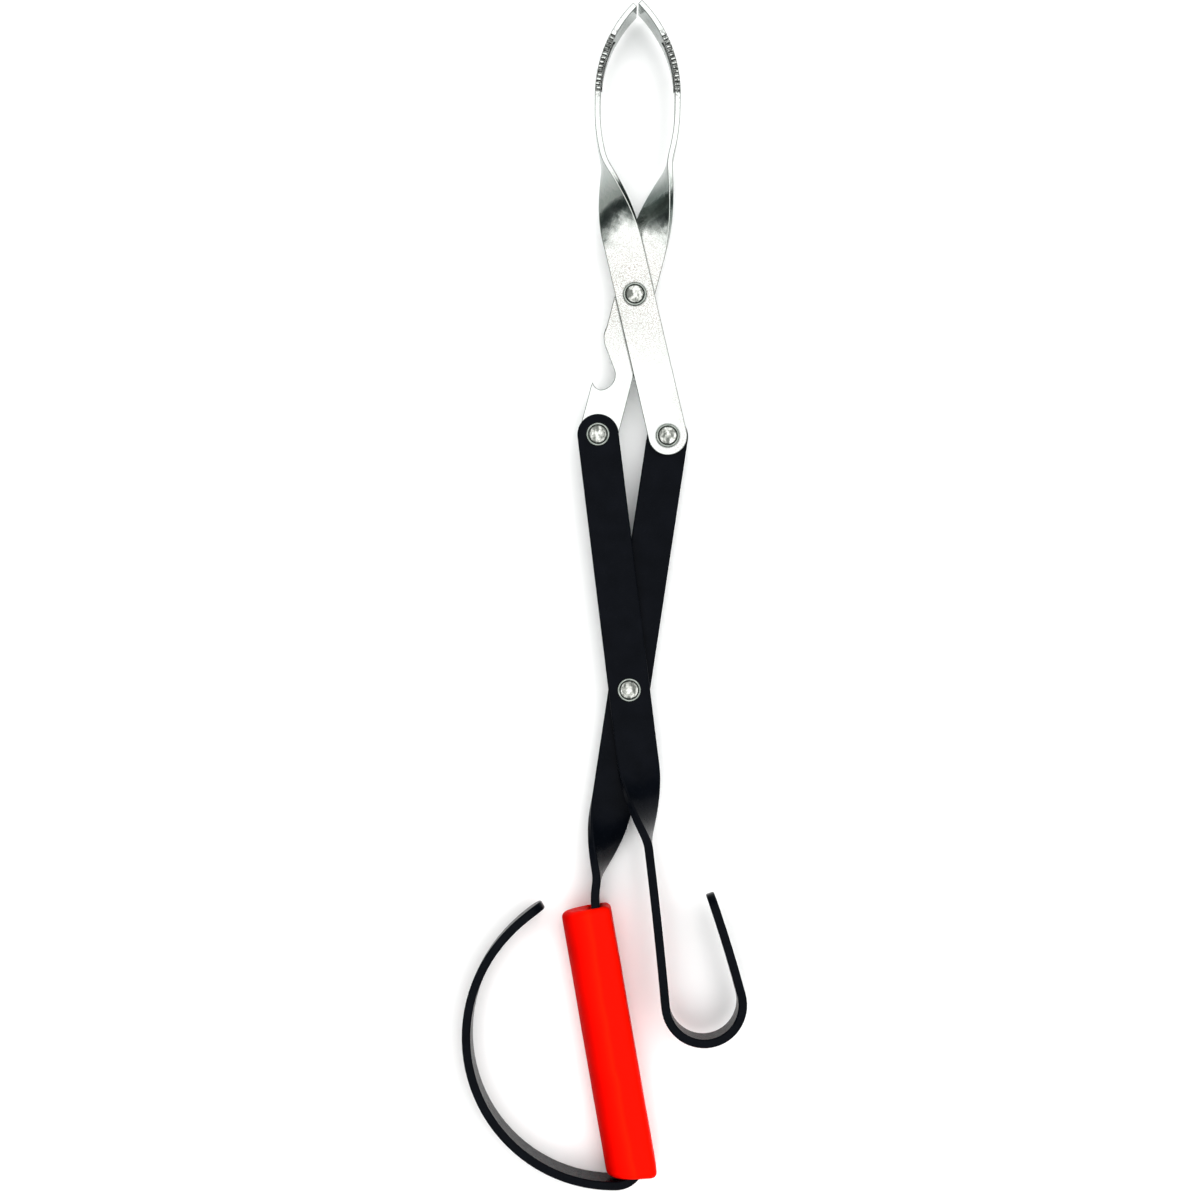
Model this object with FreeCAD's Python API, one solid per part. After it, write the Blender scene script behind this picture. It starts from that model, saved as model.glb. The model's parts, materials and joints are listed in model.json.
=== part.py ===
# Long-reach scissor tongs for lifting jars, lying flat and closed.
# Units are millimetres.  Z is up.  The long axis of the tongs runs along Y, jaws towards +Y.
# Two flat steel jaws and two coated steel handles form a four-bar kite with four rivets.
# The front jaw and the front handle lie in the upper layer, the rear pair in the lower layer.
# Each bar is flat around its rivets, twists a quarter turn and carries on standing on edge.
import FreeCAD, Part
import math
import os
from FreeCAD import Vector

# four-bar kite
handle_arm = 109.7          # handle pivot to link rivet
jaw_arm = 62.3              # jaw pivot to link rivet
handle_half_angle = 7.8     # closed angle between a handle bar and the long axis, degrees
layer_gap = 0.2             # between the upper and the lower layer

# bar stock
handle_width = 17.6
handle_thick = 3.6
handle_edge = 0.7           # rounding of the coated edges
jaw_width = 16.6
jaw_thick = 2.4
jaw_edge = 0.35

# quarter-turn twists, start and end measured along the bar from its crossing pivot
front_jaw_twist = (19.0, 62.0)
rear_jaw_twist = (17.0, 62.0)
front_handle_twist = (26.0, 68.0)
rear_handle_twist = (45.0, 84.0)
rear_handle_drift = 1.5     # outward shift of the rear handle over its twist
twist_stations = 19
twist_ease = 0.16           # share of a twist over which its rate builds up, and dies away again

# jaw beyond the twist: sweep to parallel, short straight, then inwards to the tip
sweep_radius = 78.0
curl_start = 254.0          # height above the handle pivot where the inward curve starts
curl_radius = 56.0
meeting_x = -0.6            # where the closed tips meet, a little off the long axis
tip_gap = 0.3

# serrations across both edges of the gripping section, and the bead along its middle
tooth_count = 14
tooth_pitch = 1.87
tooth_gap = 0.95
tooth_depth = 1.1
first_tooth = 1.6           # along the inward curve
bead_height = 5.2
bead_rise = 0.45
bead_root = 0.2             # how far the bead reaches into the jaw
bead_start = 3.0
bead_length = 23.0
bead_round = 2.5            # its ends, almost half-round seen from the side

# thumb hook of the front handle
hook_stem = (2000.0, -1.9)  # radius and turn
hook_bow = (16.2, 189.9)
hook_leg = (570.0, 4.4)

# rear handle beyond its twist: grip section and finger guard
grip_bend_radius = 33.0
grip_lean = 11.3            # grip section from the long axis, degrees
guard_start = (7.60, -195.4)
guard_bend = (10.8, -100.8)  # radius and turn of the tight bend under the grip
guard_foot = 1.3
guard_arc = (62.0, -129.3)
guard_top = (74.2, -18.35)
end_round = 7.5             # corners of the free bar ends

# grip sleeve
sleeve_width = 21.4
sleeve_height = 23.2
sleeve_lean = 10.8
sleeve_mid = (-6.67, -148.5)
sleeve_up = 56.6            # from sleeve_mid to the upper end
sleeve_down = 57.8          # and to the lower end, which is cut slightly askew
sleeve_skew = 8.0
sleeve_round = 2.6
sleeve_ridge = 0.9          # ridge line's offset from the section's middle
sleeve_shoulder = 0.9       # fall from the ridge to the corner beside the bar
sleeve_corner = 3.5
sleeve_fit = 0.05

# rivets and their cup washers
shank_radius = 2.5
running_fit = 0.05          # radial, where a bar turns on a shank
open_fit = 0.75             # radial, rear jaw around the jaw pivot rivet
side_play = 0.1             # under a head or washer that a bar turns against
head_radius = 5.0
head_height = 1.5
head_edge = 0.6
washer_radius = 4.95
cup_radius = 4.15
cup_floor = 0.6
cup_rim = 1.0
rim_edge = 0.3
peen_radius = 3.8
peen_side = 0.4
peen_height = 1.1

# bottle-opener notch in the rear jaw, along and across the bar from its link rivet
notch_lip = 41.5
notch_tooth = 21.6
notch_floor = 0.5

spare = 1.0                 # how far a cutting shape stands clear of what it cuts
touching = 1e-4             # lengths below this count as none
corner_angle = 30           # faces that meet at more than this form a corner

link_x = handle_arm * math.sin(math.radians(handle_half_angle))
link_y = handle_arm * math.cos(math.radians(handle_half_angle))
jaw_half_angle = math.degrees(math.asin(link_x / jaw_arm))
jaw_pivot_y = link_y + jaw_arm * math.cos(math.radians(jaw_half_angle))
up = Vector(0, 0, 1)


def flat(x, y):
    return Vector(x, y, 0)


def along(heading, length):
    angle = math.radians(heading)
    return Vector(length * math.cos(angle), length * math.sin(angle), 0)


def beside(point, heading, offset):
    # a point shifted to the left of the direction of travel
    return point + along(heading + 90, offset)


def line(a, b):
    return Part.makeLine(a, b)


def arc(a, b, c):
    return Part.Arc(a, b, c).toShape()


def face_of(edges):
    return Part.Face(Part.Wire(Part.__sortEdges__(edges)))


def post(x, y, radius, low, high):
    return Part.makeCylinder(radius, high - low, Vector(x, y, low), up)


def is_sharp(solid, edge):
    # true where the two faces meeting at the edge form a corner
    faces = solid.ancestorsOfType(edge, Part.Face)
    if len(faces) != 2:
        return False
    point = edge.valueAt((edge.FirstParameter + edge.LastParameter) / 2)
    normals = []
    for face in faces:
        u, v = face.Surface.parameter(point)
        normals.append(face.normalAt(u, v))
    return normals[0].getAngle(normals[1]) > math.radians(corner_angle)


def soften(solid, radius, joint_y):
    # rounds every corner edge except those in the plane where the twist joins on
    chosen = []
    for edge in solid.Edges:
        box = edge.BoundBox
        in_joint = box.YLength < touching and abs(box.YMin - joint_y) < touching
        if not in_joint and is_sharp(solid, edge):
            chosen.append(edge)
    return solid.makeFillet(radius, chosen)


def rounded_section(width, thick, edge, place):
    # cross-section of the bar stock in the XZ plane, with rounded corners
    x = width / 2
    z = thick / 2
    bulge = edge * (1 - math.sqrt(0.5))
    corners = []
    for sx, sz in ((1, 1), (-1, 1), (-1, -1), (1, -1)):
        side = Vector(sx * x, 0, sz * (z - edge))
        face = Vector(sx * (x - edge), 0, sz * z)
        middle = Vector(sx * (x - bulge), 0, sz * (z - bulge))
        if sx == sz:
            corners.append((side, middle, face))
        else:
            corners.append((face, middle, side))
    shapes = []
    for number, corner in enumerate(corners):
        following = corners[(number + 1) % 4]
        shapes.append(arc(*corner))
        shapes.append(line(corner[2], following[0]))
    wire = Part.Wire(shapes)
    wire.Placement = place
    return wire


def eased(share):
    # share of the turn made at a share of the length: a steady rate with a soft start and finish
    if share > 0.5:
        return 1 - eased(1 - share)
    if share < twist_ease:
        return share ** 2 / (2 * twist_ease * (1 - twist_ease))
    return (share - twist_ease / 2) / (1 - twist_ease)


def twisted(start, end, drift, width, thick, edge):
    # quarter turn of the stock between two distances along local Y, drifting a little in X and Z
    sections = []
    for station in range(twist_stations):
        share = station / (twist_stations - 1)
        turned_share = eased(share)
        turn = FreeCAD.Rotation(Vector(0, 1, 0), -90 * turned_share)
        spot = flat(0, start + (end - start) * share) + drift * turned_share
        place = FreeCAD.Placement(spot, turn)
        sections.append(rounded_section(width, thick, edge, place))
    return Part.makeLoft(sections, True, False)


def straight_side(width, end):
    return [line(flat(-width / 2, 0), flat(-width / 2, end))]


def notched_side(width, end):
    # edge of the rear jaw with the hooked notch that catches a bottle cap; its points are offsets
    # from the bar's own edge and from the two ends of the notch
    x = -width / 2
    shoulder = flat(x, notch_tooth - 2.0)
    tooth = flat(x + 0.3, notch_tooth)
    throat = flat(x + 4.2, notch_tooth - 2.4)
    deep = flat(x + 7.4, notch_lip - 11.8)
    ramp = flat(x + 2.7, notch_lip - 5.2)
    lip = flat(x, notch_lip)
    return [
        line(flat(x, 0), shoulder),
        line(shoulder, tooth),
        arc(tooth, flat(x + 1.7, notch_tooth - 1.7), throat),
        arc(throat, flat(notch_floor, notch_tooth + 2.4), deep),
        line(deep, ramp),
        arc(ramp, flat(x + 1.1, notch_lip - 2.9), lip),
        line(lip, flat(x, end)),
    ]


def flat_bar(width, thick, edge, end, side):
    # flat part of a bar: full-round link end at the origin, square end where the twist starts
    r = width / 2
    edges = [
        line(flat(r, end), flat(r, 0)),
        arc(flat(r, 0), flat(0, -r), flat(-r, 0)),
        line(flat(-r, end), flat(r, end)),
    ]
    edges.extend(side)
    solid = face_of(edges).extrude(Vector(0, 0, thick))
    solid.translate(Vector(0, 0, -thick / 2))
    chosen = []
    for rim in solid.Edges:
        box = rim.BoundBox
        if box.ZLength < touching and box.YMin < end - touching:
            chosen.append(rim)
    return solid.makeFillet(edge, chosen)


def walk(start, heading, moves):
    # follows straight runs (length, 0) and arcs (radius, turn); gives the points of each move
    steps = []
    point = start
    for size, turn in moves:
        if turn == 0:
            spots = [(point, heading), (point + along(heading, size), heading)]
        else:
            side = math.copysign(size, turn)
            centre = beside(point, heading, side)
            spots = []
            for share in (0, 0.5, 1):
                course = heading + turn * share
                spots.append((beside(centre, course, -side), course))
        steps.append(spots)
        point, heading = spots[-1]
    return steps


def strip_outline(steps, thick):
    # both long sides and both ends of a strip seen along Z
    edges = []
    for spots in steps:
        for offset in (thick / 2, -thick / 2):
            points = [beside(point, course, offset) for point, course in spots]
            if len(points) == 2:
                edges.append(line(*points))
            else:
                edges.append(arc(*points))
    for point, course in (steps[0][0], steps[-1][-1]):
        edges.append(line(beside(point, course, thick / 2), beside(point, course, -thick / 2)))
    return edges


def strip(steps, thick, width):
    # strip standing on edge, centred on local Z = 0
    solid = face_of(strip_outline(steps, thick)).extrude(Vector(0, 0, width))
    solid.translate(Vector(0, 0, -width / 2))
    return solid


def round_end(solid, tip, radius):
    # rounds the two corners of a strip's end at the tip, seen from the side
    chosen = []
    for edge in solid.Edges:
        middle = edge.CenterOfMass
        at_tip = flat(middle.x, middle.y).distanceToPoint(tip) < touching
        if at_tip and edge.BoundBox.ZLength < touching:
            chosen.append(edge)
    return solid.makeFillet(radius, chosen)


def place_bar(shape, x, y, heading, z):
    # the local +Y direction of a bar points away from its link rivet
    shape.rotate(Vector(0, 0, 0), up, heading - 90)
    shape.translate(Vector(x, y, z))
    return shape


def drill(shape, distance, radius):
    return shape.cut(post(0, distance, radius, -handle_thick, handle_thick))


def jaw(twist_span, hand, side, rise):
    # hand is +1 where the tip curls to the right of travel and -1 where it curls to the left
    # rise brings the twisted part level with the plane between the two layers
    start = jaw_arm + twist_span[0]
    end = jaw_arm + twist_span[1]
    swing = math.radians(jaw_half_angle)
    out = twist_span[1] * math.sin(swing) + sweep_radius * (1 - math.cos(swing)) + hand * meeting_x
    high = jaw_pivot_y + twist_span[1] * math.cos(swing) + sweep_radius * math.sin(swing)
    # the inner corner of the square end stops half the gap short of the meeting line
    reach = curl_radius - jaw_thick / 2
    curl = math.degrees(math.acos((reach - (out - jaw_thick / 2 - tip_gap / 2)) / reach))
    moves = [
        (sweep_radius, -hand * jaw_half_angle),
        (curl_start - high, 0),
        (curl_radius, -hand * curl),
    ]
    steps = walk(flat(0, end), 90, moves)
    blade = soften(strip(steps, jaw_thick, jaw_width), jaw_edge, end)
    curl_point, curl_heading = steps[-1][0]
    blade = blade.fuse(grip_bead(curl_point, curl_heading, hand))
    blade = blade.cut(serrations(curl_point, curl_heading, hand))
    drift = Vector(0, 0, rise)
    blade.translate(drift)
    shape = flat_bar(jaw_width, jaw_thick, jaw_edge, start, side)
    shape = shape.fuse(twisted(start, end, drift, jaw_width, jaw_thick, jaw_edge))
    return shape.fuse(blade)


def grip_bead(point, heading, hand):
    # shallow raised bead along the middle of the gripping face
    radius = curl_radius - jaw_thick / 2 + (bead_root - bead_rise) / 2
    lead = math.degrees(bead_start / curl_radius)
    length = math.degrees(bead_length / curl_radius)
    centre = beside(point, heading, -hand * curl_radius)
    course = heading - hand * lead
    steps = walk(beside(centre, course, hand * radius), course, [(radius, -hand * length)])
    bead = strip(steps, bead_root + bead_rise, bead_height)
    for tip in (steps[0][0][0], steps[-1][-1][0]):
        bead = round_end(bead, tip, bead_round)
    return bead


def serrations(point, heading, hand):
    # rows of square notches across the upper and lower edge of the gripping section
    centre = beside(point, heading, -hand * curl_radius)
    depth = jaw_thick + 2 * spare
    notches = []
    for number in range(tooth_count):
        course = heading - hand * math.degrees((first_tooth + number * tooth_pitch) / curl_radius)
        spot = beside(centre, course, hand * curl_radius)
        for low in (jaw_width / 2 - tooth_depth, -jaw_width / 2 - spare):
            notch = Part.makeBox(tooth_gap, depth, tooth_depth + spare)
            notch.translate(Vector(-tooth_gap / 2, -depth / 2, low))
            notch.rotate(Vector(0, 0, 0), up, course)
            notch.translate(spot)
            notches.append(notch)
    return Part.makeCompound(notches)


def handle(twist_span, drift, moves):
    start = handle_arm + twist_span[0]
    end = handle_arm + twist_span[1]
    steps = walk(flat(drift, end), 90, moves)
    rail = round_end(strip(steps, handle_thick, handle_width), steps[-1][-1][0], end_round)
    rail = soften(rail, handle_edge, end)
    side = straight_side(handle_width, start)
    shape = flat_bar(handle_width, handle_thick, handle_edge, start, side)
    shift = flat(drift, 0)
    shape = shape.fuse(twisted(start, end, shift, handle_width, handle_thick, handle_edge))
    return shape.fuse(rail)


def guard_moves():
    # from the end of the rear handle's twist to the free end of the finger guard
    heading = -90 - handle_half_angle
    course = -90 + grip_lean
    turn = math.radians(handle_half_angle + grip_lean)
    start = beside(along(heading, rear_handle_twist[1]), heading, -rear_handle_drift)
    goal = flat(*guard_start)
    # the bend under the mouth of the grip lies where the two straight runs cross
    offset = (goal - start).dot(along(course + 90, 1))
    corner = start + along(heading, -offset / math.sin(turn))
    tangent = grip_bend_radius * math.tan(turn / 2)
    lead = corner.distanceToPoint(start) - tangent
    run = corner.distanceToPoint(goal) - tangent
    return [
        (lead, 0),
        (grip_bend_radius, handle_half_angle + grip_lean),
        (run, 0),
        guard_bend,
        (guard_foot, 0),
        guard_arc,
        guard_top,
    ]


def sleeve_section():
    # half-round where the fingers close, boxed out around the bar on the other side
    w = sleeve_width / 2
    h = sleeve_height / 2
    top = h - sleeve_shoulder
    bulge = sleeve_corner * (1 - math.sqrt(0.5))
    ridge = Vector(sleeve_ridge, 0, h)
    shoulder = Vector(w - sleeve_corner, 0, top)
    middle = Vector(w - bulge, 0, top - bulge)
    side = Vector(w, 0, top - sleeve_corner)
    back = Vector(-w, 0, 0)

    def below(point):
        return Vector(point.x, 0, -point.z)

    return face_of([
        arc(below(ridge), back, ridge),
        line(ridge, shoulder),
        arc(shoulder, middle, side),
        line(side, below(side)),
        arc(below(side), below(middle), below(shoulder)),
        line(below(shoulder), below(ridge)),
    ])


def grip_sleeve(z):
    # soft sleeve with a low ridge along its top and bottom, slotted for the bar
    face = sleeve_section()
    excess = sleeve_width
    sleeve = face.extrude(Vector(0, sleeve_up + sleeve_down + excess, 0))
    sleeve.translate(Vector(0, -sleeve_down - excess, 0))
    waste = Part.makeBox(4 * excess, 2 * excess, 4 * excess)
    waste.translate(Vector(-2 * excess, -2 * excess, -2 * excess))
    waste.rotate(Vector(0, 0, 0), up, -sleeve_skew)
    waste.translate(flat(0, -sleeve_down))
    sleeve = sleeve.cut(waste)
    ends = [edge for edge in sleeve.Edges if is_sharp(sleeve, edge)]
    sleeve = sleeve.makeFillet(sleeve_round, ends)
    sleeve.rotate(Vector(0, 0, 0), up, sleeve_lean)
    sleeve.translate(Vector(sleeve_mid[0], sleeve_mid[1], z))
    start = flat(rear_handle_drift, handle_arm + rear_handle_twist[1])
    steps = walk(start, 90, guard_moves())
    slot = strip(steps, handle_thick + 2 * sleeve_fit, handle_width + 2 * sleeve_fit)
    place_bar(slot, link_x, link_y, -90 - handle_half_angle, z)
    return sleeve.cut(slot)


def turned(x, y, profile):
    shape = face_of(profile).revolve(Vector(0, 0, 0), up, 360)
    shape.translate(flat(x, y))
    return shape


def rivet(x, y, under, over):
    # shank from a formed head below to a peened end in the cup washer above
    def at(radius, z):
        return Vector(radius, 0, z)

    base = under - head_height
    seat = over + cup_floor
    top = seat + peen_height
    bend = head_edge * (1 - math.sqrt(0.5))
    rise = peen_height - peen_side
    dome = (peen_radius ** 2 + rise ** 2) / (2 * rise)
    half = peen_radius / 2
    crown = top - dome + math.sqrt(dome ** 2 - half ** 2)
    return turned(x, y, [
        line(at(0, base), at(head_radius - head_edge, base)),
        arc(at(head_radius - head_edge, base), at(head_radius - bend, base + bend),
            at(head_radius, base + head_edge)),
        line(at(head_radius, base + head_edge), at(head_radius, under)),
        line(at(head_radius, under), at(shank_radius, under)),
        line(at(shank_radius, under), at(shank_radius, seat)),
        line(at(shank_radius, seat), at(peen_radius, seat)),
        line(at(peen_radius, seat), at(peen_radius, seat + peen_side)),
        arc(at(peen_radius, seat + peen_side), at(half, crown), at(0, top)),
        line(at(0, top), at(0, base)),
    ])


def cup_washer(x, y, over):
    def at(radius, z):
        return Vector(radius, 0, over + z)

    bore = shank_radius
    return turned(x, y, [
        line(at(bore, 0), at(washer_radius, 0)),
        line(at(washer_radius, 0), at(washer_radius, cup_rim - rim_edge)),
        arc(at(washer_radius, cup_rim - rim_edge),
            at(washer_radius - rim_edge * (1 - math.sqrt(0.5)), cup_rim - rim_edge * (1 - math.sqrt(0.5))),
            at(washer_radius - rim_edge, cup_rim)),
        line(at(washer_radius - rim_edge, cup_rim), at(cup_radius, cup_rim)),
        line(at(cup_radius, cup_rim), at(cup_radius, cup_floor)),
        line(at(cup_radius, cup_floor), at(bore, cup_floor)),
        line(at(bore, cup_floor), at(bore, 0)),
    ])


# heights of the two layers around the plane between them
handle_mid = layer_gap / 2 + handle_thick / 2
jaw_mid = layer_gap / 2 + jaw_thick / 2
handle_face = layer_gap / 2 + handle_thick
jaw_face = layer_gap / 2 + jaw_thick
turning = shank_radius + running_fit

plain_side = straight_side(jaw_width, jaw_arm + front_jaw_twist[0])
front_jaw = jaw(front_jaw_twist, 1, plain_side, -jaw_mid)
front_jaw = drill(drill(front_jaw, 0, turning), jaw_arm, shank_radius)
place_bar(front_jaw, link_x, link_y, 90 + jaw_half_angle, jaw_mid)

opener_side = notched_side(jaw_width, jaw_arm + rear_jaw_twist[0])
rear_jaw = jaw(rear_jaw_twist, -1, opener_side, jaw_mid)
rear_jaw = drill(drill(rear_jaw, 0, turning), jaw_arm, shank_radius + open_fit)
place_bar(rear_jaw, -link_x, link_y, 90 - jaw_half_angle, -jaw_mid)

front_handle = handle(front_handle_twist, 0, [hook_stem, hook_bow, hook_leg])
front_handle = drill(drill(front_handle, 0, shank_radius), handle_arm, turning)
place_bar(front_handle, -link_x, link_y, -90 + handle_half_angle, handle_mid)

rear_handle = handle(rear_handle_twist, rear_handle_drift, guard_moves())
rear_handle = drill(drill(rear_handle, 0, shank_radius), handle_arm, shank_radius)
place_bar(rear_handle, link_x, link_y, -90 - handle_half_angle, -handle_mid)

pieces = {
    "front_jaw": front_jaw,
    "rear_jaw": rear_jaw,
    "front_handle": front_handle,
    "rear_handle": rear_handle,
    "grip_sleeve": grip_sleeve(-handle_mid),
    "handle_pivot_rivet": rivet(0, 0, -handle_face, handle_face + side_play),
    "handle_pivot_washer": cup_washer(0, 0, handle_face + side_play),
    "right_link_rivet": rivet(link_x, link_y, -handle_face, jaw_face + side_play),
    "right_link_washer": cup_washer(link_x, link_y, jaw_face + side_play),
    "left_link_rivet": rivet(-link_x, link_y, -jaw_face - side_play, handle_face),
    "left_link_washer": cup_washer(-link_x, link_y, handle_face),
    "jaw_pivot_rivet": rivet(0, jaw_pivot_y, -jaw_face - side_play, jaw_face),
    "jaw_pivot_washer": cup_washer(0, jaw_pivot_y, jaw_face),
}

# the origin goes to the middle of the underside of the whole object
box = Part.makeCompound(list(pieces.values())).optimalBoundingBox(False)
shift = Vector(-box.Center.x, -box.Center.y, -box.ZMin)
os.makedirs("parts", exist_ok=True)
for name, shape in pieces.items():
    shape.translate(shift)
    shape.exportStep("parts/" + name + ".step")
print("origin shift", shift, "size", box.XLength, box.YLength, box.ZLength)
print("link", link_x, link_y, "jaw pivot", jaw_pivot_y)
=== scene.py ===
import json
import math

import bmesh
import bpy
from mathutils import Matrix, Vector, noise


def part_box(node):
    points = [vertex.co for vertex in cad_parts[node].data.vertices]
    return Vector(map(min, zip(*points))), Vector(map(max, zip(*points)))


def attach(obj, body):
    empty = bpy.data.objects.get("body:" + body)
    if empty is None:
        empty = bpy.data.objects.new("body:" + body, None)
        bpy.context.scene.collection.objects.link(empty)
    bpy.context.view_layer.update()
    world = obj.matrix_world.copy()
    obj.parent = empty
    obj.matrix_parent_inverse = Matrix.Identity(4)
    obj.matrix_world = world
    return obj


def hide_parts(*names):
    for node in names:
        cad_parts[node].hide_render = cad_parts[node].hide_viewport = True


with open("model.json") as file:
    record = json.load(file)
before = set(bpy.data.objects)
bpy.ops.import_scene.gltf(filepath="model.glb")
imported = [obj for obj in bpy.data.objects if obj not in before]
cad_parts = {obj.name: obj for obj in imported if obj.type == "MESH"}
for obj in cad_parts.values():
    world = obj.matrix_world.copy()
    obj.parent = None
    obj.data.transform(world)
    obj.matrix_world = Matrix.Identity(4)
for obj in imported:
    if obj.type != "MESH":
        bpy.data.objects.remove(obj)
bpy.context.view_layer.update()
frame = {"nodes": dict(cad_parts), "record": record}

scene = bpy.context.scene
nodes = frame["nodes"]
MM = 0.001

# ---------------------------------------------------------------- camera
CAMERA_AT = Vector((0.00248, -0.03469, 0.93529))
CAMERA_AIM = Vector((-0.00437, -0.00406, 0.01350))
CAMERA_ROLL = math.radians(0.839)
CAMERA_FOV = math.radians(31.04)


def aim(thing, place, target, roll=0.0):
    """Puts a camera or light at place, looking at target, with its top towards +Y."""
    back = (place - target).normalized()
    right = Vector((0, 1, 0)).cross(back).normalized()
    turn = Matrix((right, back.cross(right), back)).transposed()
    turn = turn @ Matrix.Rotation(roll, 3, "Z")
    thing.matrix_world = Matrix.Translation(place) @ turn.to_4x4()


camera = bpy.data.objects.new("camera", bpy.data.cameras.new("camera"))
camera.data.sensor_width = 36
camera.data.angle = CAMERA_FOV
scene.collection.objects.link(camera)
aim(camera, CAMERA_AT, CAMERA_AIM, CAMERA_ROLL)
scene.camera = camera
scene.view_settings.view_transform = "Standard"
scene.view_settings.gamma = 0.86


# ---------------------------------------------------------------- shader helpers
NOISE_RANGE = (0.3, 0.7)     # where most of a noise texture's values lie


class Shader:
    """A node tree, with short calls for the nodes that the materials are made of."""

    def __init__(self, tree):
        self.tree = tree

    def put(self, kind, **settings):
        node = self.tree.nodes.new(kind)
        for name, value in settings.items():
            setattr(node, name, value)
        return node

    def join(self, out, into):
        self.tree.links.new(out, into)

    def stretched(self, coords, scale):
        """Coordinates scaled along each axis; a scale of 0 takes that axis out."""
        node = self.put("ShaderNodeMapping")
        node.inputs["Scale"].default_value = scale
        self.join(coords, node.inputs["Vector"])
        return node.outputs["Vector"]

    def noise(self, coords, per_metre, detail=3.0, rough=0.5):
        node = self.put("ShaderNodeTexNoise")
        node.inputs["Scale"].default_value = per_metre
        node.inputs["Detail"].default_value = detail
        node.inputs["Roughness"].default_value = rough
        self.join(coords, node.inputs["Vector"])
        return node.outputs["Fac"]

    def cells(self, coords, per_metre):
        node = self.put("ShaderNodeTexVoronoi")
        node.inputs["Scale"].default_value = per_metre
        self.join(coords, node.inputs["Vector"])
        return node.outputs["Distance"]

    def ramp(self, value, *stops):
        """A colour ramp through stops of (place, grey) or (place, colour)."""
        node = self.put("ShaderNodeValToRGB")
        elements = node.color_ramp.elements
        while len(elements) < len(stops):
            elements.new(0.5)
        for element, (place, tone) in zip(elements, stops):
            element.position = place
            element.color = (*tone, 1) if isinstance(tone, tuple) else (tone, tone, tone, 1)
        self.join(value, node.inputs["Fac"])
        return node.outputs["Color"]

    def spread(self, value, low, high):
        """A noise value brought into the range from low to high."""
        node = self.put("ShaderNodeMapRange")
        node.inputs["From Min"].default_value = NOISE_RANGE[0]
        node.inputs["From Max"].default_value = NOISE_RANGE[1]
        node.inputs["To Min"].default_value = low
        node.inputs["To Max"].default_value = high
        self.join(value, node.inputs["Value"])
        return node.outputs["Result"]

    def upward(self):
        """How far a face looks up or down: 1 when it lies flat, 0 when it stands."""
        split = self.put("ShaderNodeSeparateXYZ")
        self.join(self.put("ShaderNodeNewGeometry").outputs["True Normal"], split.inputs["Vector"])
        size = self.put("ShaderNodeMath", operation="ABSOLUTE")
        self.join(split.outputs["Z"], size.inputs[0])
        return size.outputs["Value"]

    def facing_alike(self, normal):
        """1 where a normal is the face's own, less where it turns away."""
        node = self.put("ShaderNodeVectorMath", operation="DOT_PRODUCT")
        self.join(self.put("ShaderNodeNewGeometry").outputs["True Normal"], node.inputs[0])
        self.join(normal, node.inputs[1])
        return node.outputs["Value"]

    def away_from(self, coords, place):
        """How far coords are from place, in metres."""
        node = self.put("ShaderNodeVectorMath", operation="DISTANCE")
        self.join(coords, node.inputs[0])
        node.inputs[1].default_value = place
        return node.outputs["Value"]

    def sum_of(self, operation, one, two):
        """Two values put together by a Math node's operation."""
        node = self.put("ShaderNodeMath", operation=operation)
        self.join(one, node.inputs[0])
        self.join(two, node.inputs[1])
        return node.outputs["Value"]

    def shaded_in_hollows(self, tone, dirt_and_shade, reach):
        """tone, with painted shade: darkened towards a dark colour in grooves and corners narrower than
        reach.
        """
        node = self.put("ShaderNodeAmbientOcclusion", samples=6)
        node.inputs["Distance"].default_value = reach
        return self.mixed(self.ramp(node.outputs["AO"], (0.40, 0.0), (0.92, 1.0)), dirt_and_shade, tone)

    def rolled_edges(self, radius):
        """Normals that turn gently over the corners of the stock."""
        node = self.put("ShaderNodeBevel", samples=8)
        node.inputs["Radius"].default_value = radius
        return node.outputs["Normal"]

    def mixed(self, share, low, high):
        """Colour low where share is 0, high where it is 1; each a colour or another node's output."""
        node = self.put("ShaderNodeMix", data_type="RGBA")
        self.join(share, node.inputs["Factor"])
        for socket, value in (("A", low), ("B", high)):
            if isinstance(value, tuple):
                node.inputs[socket].default_value = (*value, 1)
            else:
                self.join(value, node.inputs[socket])
        return node.outputs["Result"]

    def bump(self, height, strength, depth, under=None):
        node = self.put("ShaderNodeBump")
        node.inputs["Strength"].default_value = strength
        node.inputs["Distance"].default_value = depth
        self.join(height, node.inputs["Height"])
        if under is not None:
            self.join(under, node.inputs["Normal"])
        return node.outputs["Normal"]


def material(name, **constants):
    """A Principled material with constant sockets set directly, its Shader, sockets and coordinates."""
    made = bpy.data.materials.new(name)
    made.use_nodes = True
    surface = made.node_tree.nodes["Principled BSDF"]
    for socket, value in constants.items():
        surface.inputs[socket.replace("_", " ")].default_value = value
    shader = Shader(made.node_tree)
    coords = shader.put("ShaderNodeTexCoord").outputs["Object"]
    return made, shader, surface.inputs, coords


# ---------------------------------------------------------------- sizes that materials and new pieces share
# the sleeve: its middle and its lean, then its reach and section in mm in its own frame
SLEEVE_MID = Vector((1.972, -190.729, 11.6)) * MM
SLEEVE_LEAN = math.radians(10.8)
SLEEVE_ACROSS = Vector((math.cos(SLEEVE_LEAN), math.sin(SLEEVE_LEAN), 0))
SLEEVE_UP = 56.6
SLEEVE_DOWN = 57.8
SLEEVE_SKEW = math.tan(math.radians(8))      # the lower end is cut this far off square
HALF_WIDE = 10.7
HALF_HIGH = 11.6
RIDGE = 0.9                  # how far across the ridge is, where the round side begins
SHOULDER = 0.9               # how far the section falls from the ridge to the corner
CORNER = 3.5
END_ROUND = 2.6
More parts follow.
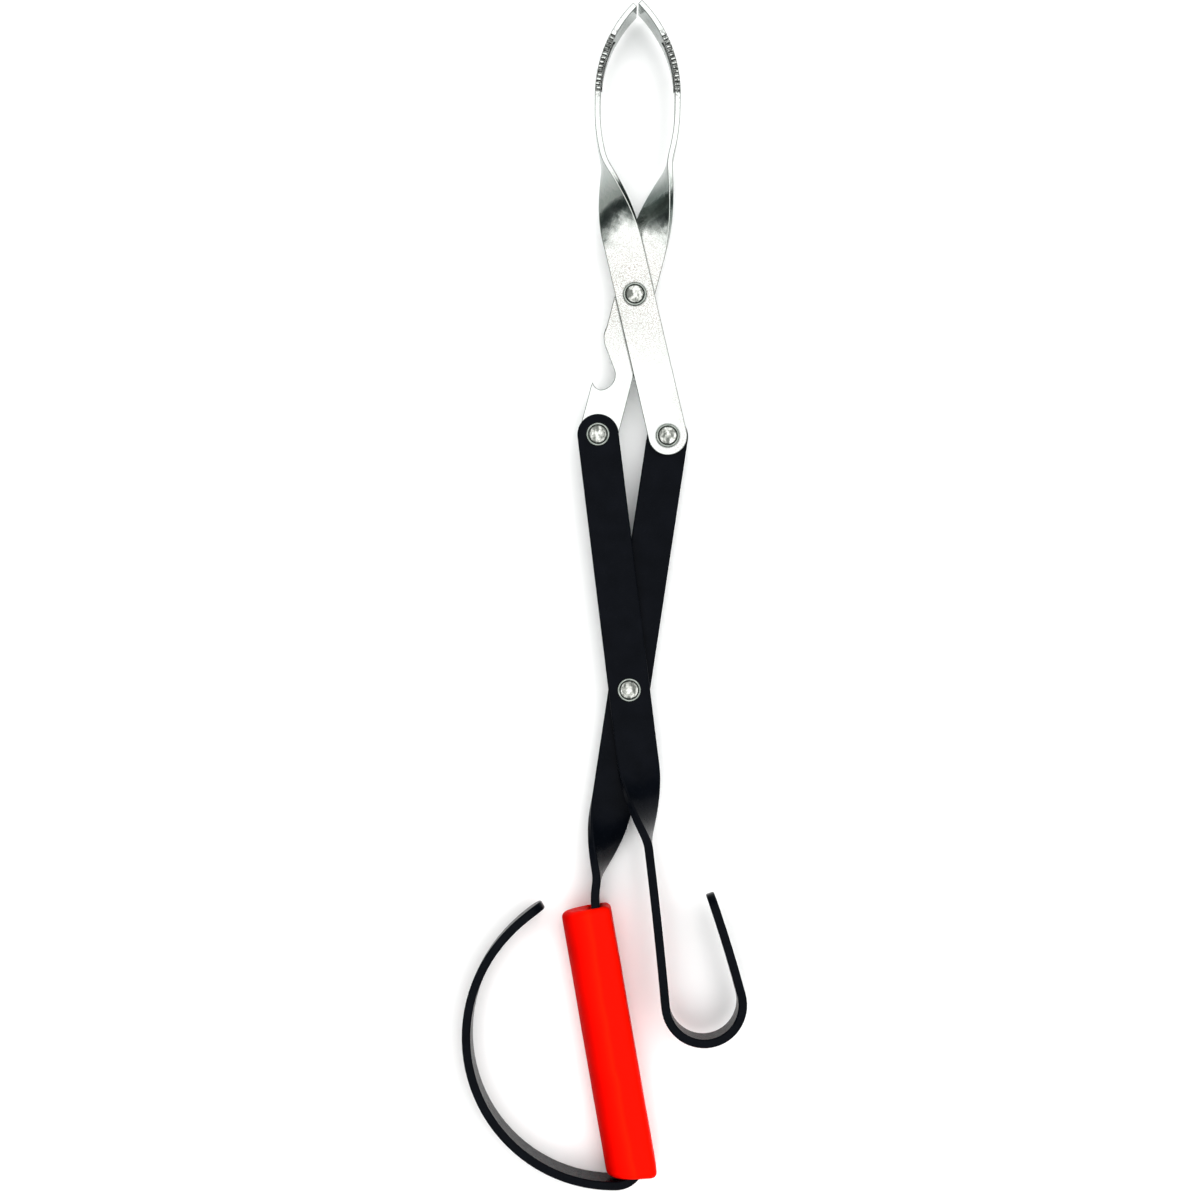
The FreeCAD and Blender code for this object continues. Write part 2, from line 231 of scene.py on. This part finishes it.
# the jaws
TIP_TO_SERRATIONS = 26 * MM
JAW_PIVOT = sum(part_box("jaw_pivot_rivet"), Vector()) / 2
JAW_LOW, JAW_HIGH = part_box("front_jaw")
SERRATED = Vector((0, JAW_HIGH.y - TIP_TO_SERRATIONS, 0))
JAW_LEVEL = Vector((0, 0, (JAW_LOW.z + JAW_HIGH.z) / 2))


# ---------------------------------------------------------------- materials
def jaw_plate():
    """Bright plating on rolled strip: blotchy, pitted, and dirty around the serrations, with painted shade
    on slanting faces, along the corners and in grooves.
    """
    made, sh, sockets, xyz = material("jaw_plate", Metallic=1.0)
    tone = sh.noise(xyz, 90, 4)
    plate = sh.ramp(tone, (0.3, (0.60, 0.63, 0.61)), (0.7, (0.68, 0.695, 0.68)))
    # painted shade for the dark surroundings that slanting faces reflect: darker on standing faces, and
    # darkest on faces at about half a right angle
    slant_shade = sh.ramp(sh.upward(), (0.00, 0.50), (0.30, 0.62), (0.60, 1.0), (0.78, 0.9), (0.94, 0.0))
    plate = sh.mixed(slant_shade, plate, (0.17, 0.20, 0.188))
    # fine pits, in patches and around the jaw pivot
    pits = sh.ramp(sh.noise(xyz, 2300, 2, 0.7), (0.42, 1.0), (0.52, 0.0))
    patches = sh.ramp(sh.noise(xyz, 38, 3), (0.50, 0.0), (0.62, 0.5))
    worn = sh.ramp(sh.away_from(xyz, JAW_PIVOT), (12 * MM, 0.9), (40 * MM, 0.0))
    pitted = sh.sum_of("MAXIMUM", patches, worn)
    plate = sh.mixed(sh.sum_of("MULTIPLY", pits, pitted), plate, (0.40, 0.37, 0.34))
    # dark dirt around the serrations, near them along the jaw and near its upper and lower edges
    dirt_and_shade = sh.ramp(sh.noise(xyz, 900, 2), (0.46, 0.0), (0.56, 0.8))
    along = sh.away_from(sh.stretched(xyz, (0, 1, 0)), SERRATED)
    gripping = sh.ramp(along, (11.5 * MM, 1.0), (13.0 * MM, 0.0))
    off_level = sh.away_from(sh.stretched(xyz, (0, 0, 1)), JAW_LEVEL)
    edges = sh.ramp(off_level, (6.0 * MM, 0.0), (7.2 * MM, 1.0))
    dirty = sh.sum_of("MULTIPLY", sh.sum_of("MULTIPLY", dirt_and_shade, edges), gripping)
    plate = sh.mixed(dirty, plate, (0.03, 0.034, 0.03))
    # painted shade: a dark line along the corners of the stock, where the rounded edges turn away
    rounded = sh.rolled_edges(0.55 * MM)
    corners = sh.ramp(sh.facing_alike(rounded), (0.80, 0.85), (0.985, 0.0))
    plate = sh.mixed(corners, plate, (0.09, 0.095, 0.09))
    # painted shade in grooves and corners narrower than the reach, such as the serration gaps and around
    # the washers
    sh.join(sh.shaded_in_hollows(plate, (0.02, 0.023, 0.02), 0.9 * MM), sockets["Base Color"])
    grain = sh.noise(xyz, 1900, 2, 0.6)
    rolled = sh.noise(sh.stretched(xyz, (1, 0.12, 1)), 900, 3)
    sh.join(sh.spread(sh.noise(xyz, 260, 4), 0.10, 0.24), sockets["Roughness"])
    fine = sh.bump(grain, 0.25, 0.12 * MM, rounded)
    streaks = sh.bump(rolled, 0.05, 0.1 * MM, fine)
    waves = sh.bump(sh.noise(xyz, 75, 1.5), 0.45, 0.7 * MM, streaks)
    sh.join(waves, sockets["Normal"])
    return made


def black_coat():
    """A smooth black powder coat with a faint orange peel."""
    made, sh, sockets, xyz = material("black_coat", Specular_IOR_Level=0.055)
    tone = sh.noise(xyz, 120, 3)
    black = sh.ramp(tone, (0.3, (0.0022, 0.0032, 0.0054)), (0.7, (0.0040, 0.0052, 0.0084)))
    sh.join(black, sockets["Base Color"])
    sh.join(sh.spread(sh.noise(xyz, 500, 3), 0.20, 0.30), sockets["Roughness"])
    peel = sh.bump(sh.noise(xyz, 1500, 2), 0.10, 0.12 * MM)
    sh.join(sh.bump(sh.noise(xyz, 220, 2), 0.05, 0.3 * MM, peel), sockets["Normal"])
    return made


def red_grip():
    """Soft red rubber or foam with a fine pebbled skin, with painted shade and a painted highlight across
    it.
    """
    made, sh, sockets, xyz = material("red_grip", Specular_IOR_Level=0.03)
    # painted shade and highlight: deep red on the round side as painted shade, a lighter line along the
    # ridge as a painted highlight, an even red beyond it
    across = sh.put("ShaderNodeVectorMath", operation="DOT_PRODUCT")
    sh.join(xyz, across.inputs[0])
    across.inputs[1].default_value = SLEEVE_ACROSS
    waver = 0.7 * MM
    uneven = sh.spread(sh.noise(xyz, 60, 4), -waver, waver)
    place = sh.sum_of("ADD", across.outputs["Value"], uneven)
    middle = SLEEVE_MID.dot(SLEEVE_ACROSS)
    side = sh.put("ShaderNodeMapRange")
    side.inputs["From Min"].default_value = middle - HALF_WIDE * MM
    side.inputs["From Max"].default_value = middle + HALF_WIDE * MM
    sh.join(place, side.inputs["Value"])
    red = sh.ramp(
        side.outputs["Result"],
        (0.00, (0.60, 0.0014, 0.0001)), (0.20, (0.82, 0.0026, 0.0001)), (0.42, (0.92, 0.0062, 0.0001)),
        (0.53, (0.96, 0.0125, 0.0003)), (0.61, (0.86, 0.0064, 0.0001)),
    )
    sh.join(red, sockets["Base Color"])
    sh.join(sh.spread(sh.noise(xyz, 700, 3), 0.42, 0.58), sockets["Roughness"])
    pebble = sh.bump(sh.cells(xyz, 2200), 0.10, 0.12 * MM)
    sh.join(sh.bump(sh.noise(xyz, 160, 2), 0.12, 0.4 * MM, pebble), sockets["Normal"])
    return made


def rivet_steel():
    """Hammered steel of uneven tone, with painted shade in its dents and around its rim."""
    made, sh, sockets, xyz = material("rivet_steel", Metallic=1.0)
    tone = sh.noise(sh.stretched(xyz, (1, 0.55, 1)), 430, 3, 0.6)
    steel = sh.ramp(
        tone, (0.40, (0.19, 0.20, 0.185)), (0.50, (0.46, 0.47, 0.44)), (0.58, (0.76, 0.77, 0.74)),
    )
    # painted shade: darkened in hollows and corners narrower than the reach
    sh.join(sh.shaded_in_hollows(steel, (0.03, 0.034, 0.03), 1.3 * MM), sockets["Base Color"])
    sh.join(sh.spread(sh.noise(xyz, 1300, 3), 0.22, 0.48), sockets["Roughness"])
    dents = sh.bump(sh.cells(xyz, 620), 0.45, 0.4 * MM)
    sh.join(sh.bump(sh.noise(xyz, 3200, 2), 0.2, 0.08 * MM, dents), sockets["Normal"])
    return made


def washer_steel():
    """Dull zinc with painted shade in the cup."""
    made, sh, sockets, xyz = material("washer_steel", Metallic=1.0)
    tone = sh.noise(xyz, 420, 3)
    zinc = sh.ramp(tone, (0.3, (0.24, 0.27, 0.245)), (0.7, (0.42, 0.445, 0.415)))
    # painted shade in the cup and other hollows narrower than the reach
    sh.join(sh.shaded_in_hollows(zinc, (0.012, 0.015, 0.012), 1.7 * MM), sockets["Base Color"])
    sh.join(sh.spread(sh.noise(xyz, 900, 3), 0.20, 0.36), sockets["Roughness"])
    worn = sh.bump(sh.noise(xyz, 2400, 2), 0.15, 0.08 * MM, sh.rolled_edges(0.45 * MM))
    sh.join(sh.bump(sh.noise(xyz, 500, 2), 0.3, 0.3 * MM, worn), sockets["Normal"])
    return made


finishes = {make.__name__: make() for make in (jaw_plate, black_coat, red_grip, rivet_steel, washer_steel)}
for part in frame["record"]["subparts"]:
    mesh = nodes[part["node"]].data
    mesh.materials.clear()
    mesh.materials.append(finishes[part["material_slot"]])


# ---------------------------------------------------------------- new pieces
def mesh_piece(name, slot, body, node, build):
    """A mesh made by build(bm), which stands for a CAD node and rides on its body."""
    bm = bmesh.new()
    build(bm)
    bmesh.ops.recalc_face_normals(bm, faces=bm.faces)
    mesh = bpy.data.meshes.new(name)
    bm.to_mesh(mesh)
    bm.free()
    mesh.materials.append(finishes[slot])
    mesh.shade_smooth()
    piece = bpy.data.objects.new(name, mesh)
    scene.collection.objects.link(piece)
    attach(piece, body)
    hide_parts(node)


def skin(bm, rings):
    """Faces between rings of points, each with the same count, and a cap at either end."""
    loops = [[bm.verts.new(point) for point in ring] for ring in rings]
    for one, two in zip(loops, loops[1:]):
        for i in range(len(one)):
            j = (i + 1) % len(one)
            bm.faces.new((one[i], one[j], two[j], two[i]))
    bm.faces.new(loops[0])
    bm.faces.new(loops[-1])


# rivets: a formed head below, the shank, and a hammered end in the cup washer
RIVETS = {
    "handle_pivot": "rear_handle",
    "right_link": "rear_handle",
    "left_link": "front_handle",
    "jaw_pivot": "front_jaw",
}
AROUND = 96
SHANK = 2.5 * MM
PEEN = 3.8 * MM
PEEN_HIGH = 1.1 * MM
PEEN_STEPS = 14
HEAD = 5.0 * MM
HEAD_HIGH = 1.5 * MM
HAMMERED_FLAT = 0.13         # dents stand no higher than this, in mm, as if hammered flat
# the formed head's underside and rim: radius and height above its lowest point, in mm
HEAD_PROFILE = ((0.4, 0), (2.2, 0.0), (4.0, 0.04), (4.5, 0.12), (4.8, 0.30), (4.95, 0.5), (5.0, 0.8))


def rivet_rings(node, seed):
    """The rivet's rings, from the middle of its head below to the middle of its hammered end."""
    low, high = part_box(node)
    centre = (low + high) / 2
    head_top = low.z + HEAD_HIGH
    peen_low = high.z - PEEN_HIGH
    # radius, height, and how much of the hammering shows there
    profile = [(r * MM, low.z + z * MM, 0.0) for r, z in HEAD_PROFILE]
    profile += [(HEAD, head_top - 0.3 * MM, 0.0), (4.8 * MM, head_top, 0.0), (SHANK, head_top, 0.0)]
    profile += [(SHANK, peen_low, 0.0), (PEEN * 0.97, peen_low, 0.0), (PEEN, peen_low + 0.16 * MM, 0.3)]
    for step in range(PEEN_STEPS):
        # from the rim of the hammered end in to its middle
        share = step / (PEEN_STEPS - 1)
        radius = PEEN * (0.985 - 0.955 * share)
        rise = math.sqrt(1 - (radius / PEEN * 0.93) ** 2)
        profile.append((radius, peen_low + (0.22 + 0.72 * rise) * MM, 1.0))
    rings = []
    for radius, z, hammered in profile:
        ring = []
        for i in range(AROUND):
            angle = math.tau * i / AROUND
            flat = Vector((math.cos(angle), math.sin(angle), 0))
            spot = flat * radius
            where = spot / MM + Vector((seed * 7.3, seed * 3.1, 0))
            # broad dents, small dents and creases, in mm
            dent = noise.noise(where * 0.55) * 0.16 + noise.noise(where * 1.5) * 0.10
            dent -= 0.10 * abs(noise.noise(where * 0.9 + Vector((5, 5, 5))))
            wobble = 1 + 0.03 * hammered * noise.noise(flat * 1.7 + Vector((seed, 0, 0)))
            lift = min(dent, HAMMERED_FLAT) * hammered * MM
            ring.append(Vector((centre.x, centre.y, z + lift)) + flat * radius * wobble)
        rings.append(ring)
    return rings


for seed, (place, body) in enumerate(RIVETS.items()):
    node = place + "_rivet"
    rings = rivet_rings(node, seed + 1)
    mesh_piece(place + "_peened", "rivet_steel", body, node, lambda bm: skin(bm, rings))

# sleeve: a soft moulded tube, with rounded ends and a puckered mouth around the bar; sizes in mm
MOUTH_X = 4.05               # where the bar goes in at the upper end
MOUTH_HALF = Vector((2.15, 9.15))
LOWER_END_X = 3.0            # where the faces of the closed lower end meet
SOFTNESS = 0.12              # how far the surface swells and sinks
ROUND_STEPS = 32
SLOPE_STEPS = 6
CORNER_STEPS = 8
END_STEPS = 6
LENGTH_STEPS = 40
# the puckered mouth: share of the way from the end's rim to the bar, and how deep it has sunk
PUCKER = ((0.3, 0.0), (0.6, 0.12), (0.8, 0.4), (0.93, 0.9), (1.0, 1.8), (1.0, 5.0))


def section_outline():
    """Points around the section, in mm across and up."""
    points = []
    top = HALF_HIGH - SHOULDER
    for step in range(ROUND_STEPS + 1):
        angle = math.radians(90 + 180 * step / ROUND_STEPS)
        points.append((RIDGE + HALF_HIGH * math.cos(angle), HALF_HIGH * math.sin(angle)))
    low = []
    for step in range(1, SLOPE_STEPS):
        share = step / SLOPE_STEPS
        low.append((RIDGE + (HALF_WIDE - CORNER - RIDGE) * share, -HALF_HIGH + SHOULDER * share))
    for step in range(CORNER_STEPS + 1):
        angle = math.radians(-90 + 90 * step / CORNER_STEPS)
        x = HALF_WIDE - CORNER + CORNER * math.cos(angle)
        low.append((x, CORNER - top + CORNER * math.sin(angle)))
    side = [(HALF_WIDE, (top - CORNER) * share) for share in (-0.6, -0.2, 0.2, 0.6)]
    points += low + side + [(x, -z) for x, z in reversed(low)]
    return [Vector(p) for p in points]


def outward(points):
    """The outward direction at each point of a closed outline."""
    ways = []
    for i, point in enumerate(points):
        along = points[(i + 1) % len(points)] - points[i - 1]
        ways.append(Vector((along.y, -along.x)).normalized())
    return ways


def sleeve_point(x, y, z):
    """The place of a point given in mm in the sleeve's own frame: across, along and up."""
    spot = Vector((x, y, z)) * MM
    return SLEEVE_MID + Matrix.Rotation(SLEEVE_LEAN, 3, "Z") @ spot


def sleeve_rings():
    """The sleeve's rings, from the closed lower end up and in to its mouth."""
    outline = section_outline()
    ways = outward(outline)
    rings = []

    def ring(inset, height, lower):
        """The section, drawn in by inset, at height from the lower or the upper end."""
        made = []
        for point, way in zip(outline, ways):
            x, z = point - way * inset
            if lower:
                y = -SLEEVE_DOWN - SLEEVE_SKEW * x + height
            else:
                y = SLEEVE_UP - height
            soft = noise.noise(Vector((x * 0.12, y * 0.05, z * 0.12)))
            push = SOFTNESS * soft - SOFTNESS
            made.append(sleeve_point(x + way.x * push, y, z + way.y * push))
        return made

    arc = [math.radians(90 * step / END_STEPS) for step in range(END_STEPS + 1)]
    for share in (0.1, 0.35, 0.6, 0.8):
        flat = ring(END_ROUND, 0, True)
        middle = sleeve_point(LOWER_END_X, -SLEEVE_DOWN - SLEEVE_SKEW * LOWER_END_X, 0)
        rings.append([middle.lerp(point, share) for point in flat])
    for angle in arc:
        inset = END_ROUND * (1 - math.sin(angle))
        rings.append(ring(inset, END_ROUND * (1 - math.cos(angle)), True))
    length = SLEEVE_UP + SLEEVE_DOWN - 2 * END_ROUND
    for step in range(1, LENGTH_STEPS):
        share = step / LENGTH_STEPS
        lower = ring(0, END_ROUND + length * share, True)
        upper = ring(0, END_ROUND + length * (1 - share), False)
        rings.append([a.lerp(b, share) for a, b in zip(lower, upper)])
    for angle in reversed(arc):
        inset = END_ROUND * (1 - math.sin(angle))
        rings.append(ring(inset, END_ROUND * (1 - math.cos(angle)), False))
    rim = []
    for point, way in zip(outline, ways):
        x, z = point - way * END_ROUND
        mouth = Vector((
            min(max(x - MOUTH_X, -MOUTH_HALF.x), MOUTH_HALF.x) + MOUTH_X,
            min(max(z, -MOUTH_HALF.y), MOUTH_HALF.y),
        ))
        rim.append((Vector((x, z)), mouth))
    for share, sink in PUCKER:
        made = []
        for outer, mouth in rim:
            x, z = outer.lerp(mouth, share)
            made.append(sleeve_point(x, SLEEVE_UP - sink, z))
        rings.append(made)
    return rings


mesh_piece("sleeve", "red_grip", "rear_handle", "grip_sleeve", lambda bm: skin(bm, sleeve_rings()))

# ---------------------------------------------------------------- floor and light
FLOOR_DROP = 0.2 * MM
FLOOR_WIDE = 8
bpy.ops.mesh.primitive_plane_add(size=FLOOR_WIDE, location=(0, 0, -FLOOR_DROP))
floor = bpy.context.object
floor.name = "floor"
paper, sh, sockets, xyz = material("paper", Roughness=0.95, Specular_IOR_Level=0.1)
sh.join(sh.ramp(sh.noise(xyz, 6, 2), (0.3, 0.94), (0.7, 0.96)), sockets["Base Color"])
sh.join(sh.bump(sh.noise(xyz, 900, 2), 0.04, 0.2 * MM), sockets["Normal"])
floor.data.materials.append(paper)

# a pale wall around the floor, which is seen directly but lights and reflects nothing
BACKDROP_HIGH = 6
BACKDROP_RADIUS = 3.8
bpy.ops.mesh.primitive_cylinder_add(
    vertices=128, radius=BACKDROP_RADIUS, depth=BACKDROP_HIGH, end_fill_type="NOTHING",
    location=(0, 0, BACKDROP_HIGH / 2 - FLOOR_DROP),
)
backdrop = bpy.context.object
backdrop.name = "backdrop"
backdrop.visible_diffuse = False
backdrop.visible_glossy = False
backdrop.visible_shadow = False
white = material(
    "backdrop_white", Base_Color=(0, 0, 0, 1), Specular_IOR_Level=0,
    Emission_Color=(0.94, 0.94, 0.94, 1), Emission_Strength=1,
)[0]
backdrop.data.materials.append(white)

# a bright ceiling over darker, uneven walls, which the bright metal reflects
SKY_STRENGTH = 1.7
world = bpy.data.worlds.new("studio")
scene.world = world
world.use_nodes = True
sh = Shader(world.node_tree)
way = sh.put("ShaderNodeTexCoord").outputs["Generated"]
height = sh.put("ShaderNodeSeparateXYZ")
sh.join(way, height.inputs["Vector"])
cloudy = 0.24                # how far the clouds shift the sky up and down
cloud = sh.spread(sh.noise(way, 5.5, 2.5), -cloudy, cloudy)
sky = sh.ramp(
    sh.sum_of("ADD", height.outputs["Z"], cloud),
    (0.00, (0.16, 0.18, 0.175)), (0.10, (0.07, 0.085, 0.085)), (0.30, (0.04, 0.05, 0.05)),
    (0.50, (0.09, 0.10, 0.10)), (0.66, (0.60, 0.62, 0.60)), (0.80, (1.0, 1.0, 1.0)),
)
back = world.node_tree.nodes["Background"]
back.inputs["Strength"].default_value = SKY_STRENGTH
sh.join(sky, back.inputs["Color"])


def soft_light(name, place, size, watts):
    """A square lamp that looks at the middle of the floor and isn't reflected."""
    lamp = bpy.data.lights.new(name, "AREA")
    lamp.shape = "SQUARE"
    lamp.size = size
    lamp.energy = watts
    thing = bpy.data.objects.new(name, lamp)
    scene.collection.objects.link(thing)
    aim(thing, Vector(place), Vector((0, 0, 0)))
    thing.visible_glossy = False


soft_light("key", (0.35, 0.1, 1.7), size=3.2, watts=36)
